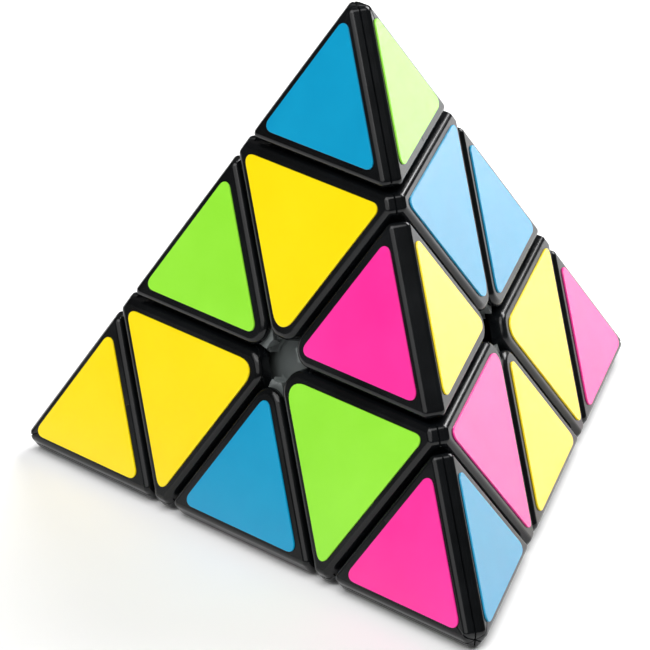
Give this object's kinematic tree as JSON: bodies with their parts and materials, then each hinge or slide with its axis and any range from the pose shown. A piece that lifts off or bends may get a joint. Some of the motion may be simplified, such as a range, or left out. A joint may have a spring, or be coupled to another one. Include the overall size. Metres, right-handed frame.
{
  "type": "pyramid twisty puzzle",
  "caption": "Pyramid-shaped twisty puzzle: corner layers and tips turn about a ball core, with coloured triangular stickers on every face.",
  "frame": {"origin": "middle of the core ball, where the four turning axes meet", "axes": "+Z points at the top corner, -Y lies on the front corner's side, and +X is to the right of someone who looks at the front corner"},
  "size_m": [0.0974, 0.0846, 0.0798],
  "materials": {
    "shell_plastic": "moulded ABS, near-black, glossy",
    "core_plastic": "moulded ABS, dark grey, satin",
    "foot_plastic": "moulded ABS, near-black, satin",
    "steel": "zinc-plated steel",
    "spring_steel": "drawn spring wire",
    "sticker_blue": "coated vinyl film, sky blue",
    "sticker_green": "coated vinyl film, lime green",
    "sticker_yellow": "coated vinyl film, bright yellow",
    "sticker_pink": "coated vinyl film, hot pink"
  },
  "bodies": {
    "core": {"core": "core_plastic", "core_screws": "steel", "core_washers": "steel", "core_springs": "spring_steel"},
    "axial_top": {"axial_top": "shell_plastic", "sticker_axial_top_on_back": "sticker_green", "sticker_axial_top_on_left": "sticker_yellow", "sticker_axial_top_on_right": "sticker_blue"},
    "tip_top": {"tip_top": "shell_plastic", "sticker_tip_top_on_back": "sticker_yellow", "sticker_tip_top_on_left": "sticker_blue", "sticker_tip_top_on_right": "sticker_green"},
    "axial_front": {"axial_front": "shell_plastic", "sticker_axial_front_on_base": "sticker_blue", "sticker_axial_front_on_left": "sticker_green", "sticker_axial_front_on_right": "sticker_pink"},
    "tip_front": {"tip_front": "shell_plastic", "sticker_tip_front_on_base": "sticker_green", "sticker_tip_front_on_left": "sticker_pink", "sticker_tip_front_on_right": "sticker_blue"},
    "axial_right": {"axial_right": "shell_plastic", "sticker_axial_right_on_base": "sticker_green", "sticker_axial_right_on_back": "sticker_pink", "sticker_axial_right_on_right": "sticker_yellow"},
    "tip_right": {"tip_right": "shell_plastic", "sticker_tip_right_on_base": "sticker_yellow", "sticker_tip_right_on_back": "sticker_green", "sticker_tip_right_on_right": "sticker_pink"},
    "axial_left": {"axial_left": "shell_plastic", "sticker_axial_left_on_base": "sticker_blue", "sticker_axial_left_on_back": "sticker_pink", "sticker_axial_left_on_left": "sticker_yellow"},
    "tip_left": {"tip_left": "shell_plastic", "sticker_tip_left_on_base": "sticker_blue", "sticker_tip_left_on_back": "sticker_pink", "sticker_tip_left_on_left": "sticker_yellow"},
    "edge_top_front": {"edge_shell_top_front": "shell_plastic", "edge_foot_top_front": "foot_plastic", "sticker_edge_top_front_on_left": "sticker_pink", "sticker_edge_top_front_on_right": "sticker_yellow"},
    "edge_top_right": {"edge_shell_top_right": "shell_plastic", "edge_foot_top_right": "foot_plastic", "sticker_edge_top_right_on_back": "sticker_green", "sticker_edge_top_right_on_right": "sticker_blue"},
    "edge_top_left": {"edge_shell_top_left": "shell_plastic", "edge_foot_top_left": "foot_plastic", "sticker_edge_top_left_on_back": "sticker_pink", "sticker_edge_top_left_on_left": "sticker_green"},
    "edge_front_right": {"edge_shell_front_right": "shell_plastic", "edge_foot_front_right": "foot_plastic", "sticker_edge_front_right_on_base": "sticker_green", "sticker_edge_front_right_on_right": "sticker_yellow"},
    "edge_front_left": {"edge_shell_front_left": "shell_plastic", "edge_foot_front_left": "foot_plastic", "sticker_edge_front_left_on_base": "sticker_pink", "sticker_edge_front_left_on_left": "sticker_blue"},
    "edge_right_left": {"edge_shell_right_left": "shell_plastic", "edge_foot_right_left": "foot_plastic", "sticker_edge_right_left_on_base": "sticker_yellow", "sticker_edge_right_left_on_back": "sticker_blue"}
  },
  "joints": [
    {"name": "layer_top_turn", "type": "hinge", "parent": "core", "child": "axial_top", "pos_m": [0, 0, 0], "axis": [0, 0, 1], "continuous": true},
    {"name": "layer_front_turn", "type": "hinge", "parent": "core", "child": "axial_front", "pos_m": [0, 0, 0], "axis": [0, -0.9428, -0.3333], "range_deg": [-360, 360]},
    {"name": "layer_right_turn", "type": "hinge", "parent": "core", "child": "axial_right", "pos_m": [0, 0, 0], "axis": [0.8165, 0.4714, -0.3333], "range_deg": [-360, 360]},
    {"name": "layer_left_turn", "type": "hinge", "parent": "core", "child": "axial_left", "pos_m": [0, 0, 0], "axis": [-0.8165, 0.4714, -0.3333], "range_deg": [-360, 360]},
    {"name": "tip_top_turn", "type": "hinge", "parent": "axial_top", "child": "tip_top", "pos_m": [0, 0, 0], "axis": [0, 0, 1], "continuous": true},
    {"name": "tip_front_turn", "type": "hinge", "parent": "axial_front", "child": "tip_front", "pos_m": [0, 0, 0], "axis": [0, -0.9428, -0.3333], "continuous": true},
    {"name": "tip_right_turn", "type": "hinge", "parent": "axial_right", "child": "tip_right", "pos_m": [0, 0, 0], "axis": [0.8165, 0.4714, -0.3333], "continuous": true},
    {"name": "tip_left_turn", "type": "hinge", "parent": "axial_left", "child": "tip_left", "pos_m": [0, 0, 0], "axis": [-0.8165, 0.4714, -0.3333], "continuous": true},
    {"name": "edge_top_front_turn", "type": "hinge", "parent": "axial_top", "child": "edge_top_front", "pos_m": [0, 0, 0], "axis": [0, -0.9428, -0.3333], "range_deg": [-360, 360]},
    {"name": "edge_top_right_turn", "type": "hinge", "parent": "axial_top", "child": "edge_top_right", "pos_m": [0, 0, 0], "axis": [0.8165, 0.4714, -0.3333], "range_deg": [-360, 360]},
    {"name": "edge_top_left_turn", "type": "hinge", "parent": "axial_top", "child": "edge_top_left", "pos_m": [0, 0, 0], "axis": [-0.8165, 0.4714, -0.3333], "range_deg": [-360, 360]},
    {"name": "edge_front_right_turn", "type": "hinge", "parent": "axial_front", "child": "edge_front_right", "pos_m": [0, 0, 0], "axis": [0.8165, 0.4714, -0.3333], "range_deg": [-360, 360]},
    {"name": "edge_front_left_turn", "type": "hinge", "parent": "axial_front", "child": "edge_front_left", "pos_m": [0, 0, 0], "axis": [-0.8165, 0.4714, -0.3333], "range_deg": [-360, 360]},
    {"name": "edge_right_left_turn", "type": "hinge", "parent": "axial_right", "child": "edge_right_left", "pos_m": [0, 0, 0], "axis": [-0.8165, 0.4714, -0.3333], "range_deg": [-360, 360]}
  ],
  "couplings": [
    {"joint": "edge_top_front_turn", "follows": "layer_front_turn", "ratio": 1},
    {"joint": "edge_top_right_turn", "follows": "layer_right_turn", "ratio": 1},
    {"joint": "edge_top_left_turn", "follows": "layer_left_turn", "ratio": 1},
    {"joint": "edge_front_right_turn", "follows": "layer_right_turn", "ratio": 1},
    {"joint": "edge_front_left_turn", "follows": "layer_left_turn", "ratio": 1},
    {"joint": "edge_right_left_turn", "follows": "layer_left_turn", "ratio": 1}
  ]
}
